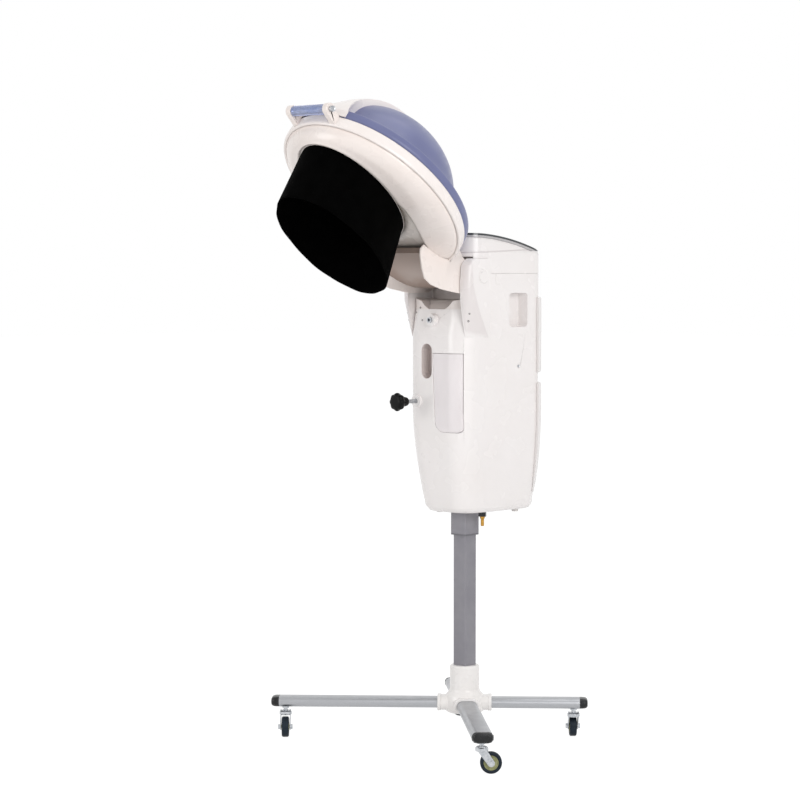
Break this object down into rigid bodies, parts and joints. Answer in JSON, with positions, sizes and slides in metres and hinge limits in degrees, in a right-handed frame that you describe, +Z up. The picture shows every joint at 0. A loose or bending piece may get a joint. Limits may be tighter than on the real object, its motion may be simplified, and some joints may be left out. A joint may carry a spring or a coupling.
{
  "type": "hair steamer",
  "caption": "Salon hair steamer: tilting hood with a hanging steam skirt on a tower that slides on a wheeled four-leg stand, with bottle and clamp knob.",
  "frame": {"origin": "on the floor under the column's axis", "axes": "+Z up; -Y is the front, where the client sits; +X is the side with the water bottle"},
  "size_m": [0.7288, 0.8044, 1.5357],
  "materials": {
    "hub_white": "satin",
    "leg_alloy": "brushed",
    "black_plastic": "satin",
    "zinc_steel": "zinc plated",
    "column_grey": "grey paint",
    "core_olive": "moulded",
    "tyre_slate": "satin",
    "bush_grey": "moulded",
    "chassis_steel": "plain",
    "shell_white": "gloss",
    "panel_dark": "gloss",
    "display_dark": "gloss",
    "key_grey": "satin",
    "bottle_clear": "translucent",
    "valve_blue": "moulded",
    "hose_silicone": "soft",
    "boiler_steel": "plain",
    "copper_sheath": "dull",
    "board_green": "coated",
    "drain_brass": "plain",
    "clamp_alloy": "cast",
    "foot_rubber": "soft",
    "hood_white": "satin",
    "pan_beige": "satin",
    "dome_blue": "translucent",
    "crest_white": "satin",
    "bowl_white": "satin",
    "skirt_black": "coated cloth",
    "grip_blue": "translucent"
  },
  "bodies": {
    "base": {"base_hub": "hub_white", "leg_front_far": "leg_alloy", "leg_front_near": "leg_alloy", "leg_rear_near": "leg_alloy", "leg_rear_far": "leg_alloy", "leg_end_caps": "black_plastic", "caster_stems": "zinc_steel", "inner_column": "column_grey"},
    "tower": {"column_sleeve": "column_grey", "sleeve_bush": "bush_grey", "chassis": "chassis_steel", "body_shell": "shell_white", "upper_rear_cover": "shell_white", "lower_rear_cover": "shell_white", "top_cap": "shell_white", "control_panel": "panel_dark", "display_window": "display_dark", "valve_seat": "bush_grey", "feed_pipe": "hose_silicone", "boiler": "boiler_steel", "heating_element": "copper_sheath", "steam_hose": "hose_silicone", "control_board": "board_green", "mains_inlet": "black_plastic", "drain_nut": "black_plastic", "drain_tail": "drain_brass", "clamp_block": "clamp_alloy", "stop_pin": "zinc_steel", "tilt_pins": "zinc_steel", "pivot_caps": "shell_white", "foot_pads": "foot_rubber"},
    "hood": {"hood_frame": "hood_white", "neck_pan": "pan_beige", "rim_hoop": "hood_white", "outer_dome": "dome_blue", "dome_crest": "crest_white", "inner_bowl": "bowl_white", "steam_skirt": "skirt_black", "handle_brackets": "hood_white", "handle_grip": "grip_blue"},
    "knob": {"knob_head": "black_plastic", "knob_stud": "zinc_steel"},
    "bottle": {"water_bottle": "bottle_clear", "bottle_valve": "valve_blue"},
    "key_power": {"power_key": "key_grey"},
    "key_time": {"time_key": "key_grey"},
    "key_heat": {"heat_key": "key_grey"},
    "swivel_1": {"caster_fork_1": "zinc_steel"},
    "wheel_1": {"wheel_core_1": "core_olive", "wheel_tyre_1": "tyre_slate"},
    "swivel_2": {"caster_fork_2": "zinc_steel"},
    "wheel_2": {"wheel_core_2": "core_olive", "wheel_tyre_2": "tyre_slate"},
    "swivel_3": {"caster_fork_3": "zinc_steel"},
    "wheel_3": {"wheel_core_3": "core_olive", "wheel_tyre_3": "tyre_slate"},
    "swivel_4": {"caster_fork_4": "zinc_steel"},
    "wheel_4": {"wheel_core_4": "core_olive", "wheel_tyre_4": "tyre_slate"}
  },
  "joints": [
    {"name": "height_slide", "type": "slide", "parent": "base", "child": "tower", "axis": [0, 0, 1], "range_m": [-0.12, 0.12]},
    {"name": "hood_tilt", "type": "hinge", "parent": "tower", "child": "hood", "pos_m": [0, -0.054, 1.125], "axis": [1, 0, 0], "range_deg": [-12, 8]},
    {"name": "knob_turn", "type": "hinge", "parent": "tower", "child": "knob", "pos_m": [-0.053, -0.118, 0.825], "axis": [0, 1, 0], "range_deg": [0, 540]},
    {"name": "bottle_slide", "type": "slide", "parent": "tower", "child": "bottle", "axis": [0, -1, 0], "range_m": [0, 0.12]},
    {"name": "power_press", "type": "slide", "parent": "tower", "child": "key_power", "axis": [0, -0.2599, -0.9656], "range_m": [0, 0.0015], "stiffness_N_per_m": 400},
    {"name": "time_press", "type": "slide", "parent": "tower", "child": "key_time", "axis": [0, -0.2599, -0.9656], "range_m": [0, 0.0015], "stiffness_N_per_m": 400},
    {"name": "heat_press", "type": "slide", "parent": "tower", "child": "key_heat", "axis": [0, -0.2599, -0.9656], "range_m": [0, 0.0015], "stiffness_N_per_m": 400},
    {"name": "swivel_turn_1", "type": "hinge", "parent": "base", "child": "swivel_1", "pos_m": [-0.32624, -0.29375, 0.054], "axis": [0, 0, 1], "continuous": true},
    {"name": "wheel_spin_1", "type": "hinge", "parent": "swivel_1", "child": "wheel_1", "pos_m": [-0.31139, -0.3086, 0.025], "axis": [-0.7071, -0.7071, 0], "continuous": true},
    {"name": "swivel_turn_2", "type": "hinge", "parent": "base", "child": "swivel_2", "pos_m": [0.32624, -0.29375, 0.054], "axis": [0, 0, 1], "continuous": true},
    {"name": "wheel_spin_2", "type": "hinge", "parent": "swivel_2", "child": "wheel_2", "pos_m": [0.34109, -0.2789, 0.025], "axis": [0.7071, -0.7071, 0], "continuous": true},
    {"name": "swivel_turn_3", "type": "hinge", "parent": "base", "child": "swivel_3", "pos_m": [0.19768, 0.17799, 0.054], "axis": [0, 0, 1], "continuous": true},
    {"name": "wheel_spin_3", "type": "hinge", "parent": "swivel_3", "child": "wheel_3", "pos_m": [0.18283, 0.19284, 0.025], "axis": [0.7071, 0.7071, 0], "continuous": true},
    {"name": "swivel_turn_4", "type": "hinge", "parent": "base", "child": "swivel_4", "pos_m": [-0.19768, 0.17799, 0.054], "axis": [0, 0, 1], "continuous": true},
    {"name": "wheel_spin_4", "type": "hinge", "parent": "swivel_4", "child": "wheel_4", "pos_m": [-0.19768, 0.19899, 0.025], "axis": [1, 0, 0], "continuous": true}
  ]
}
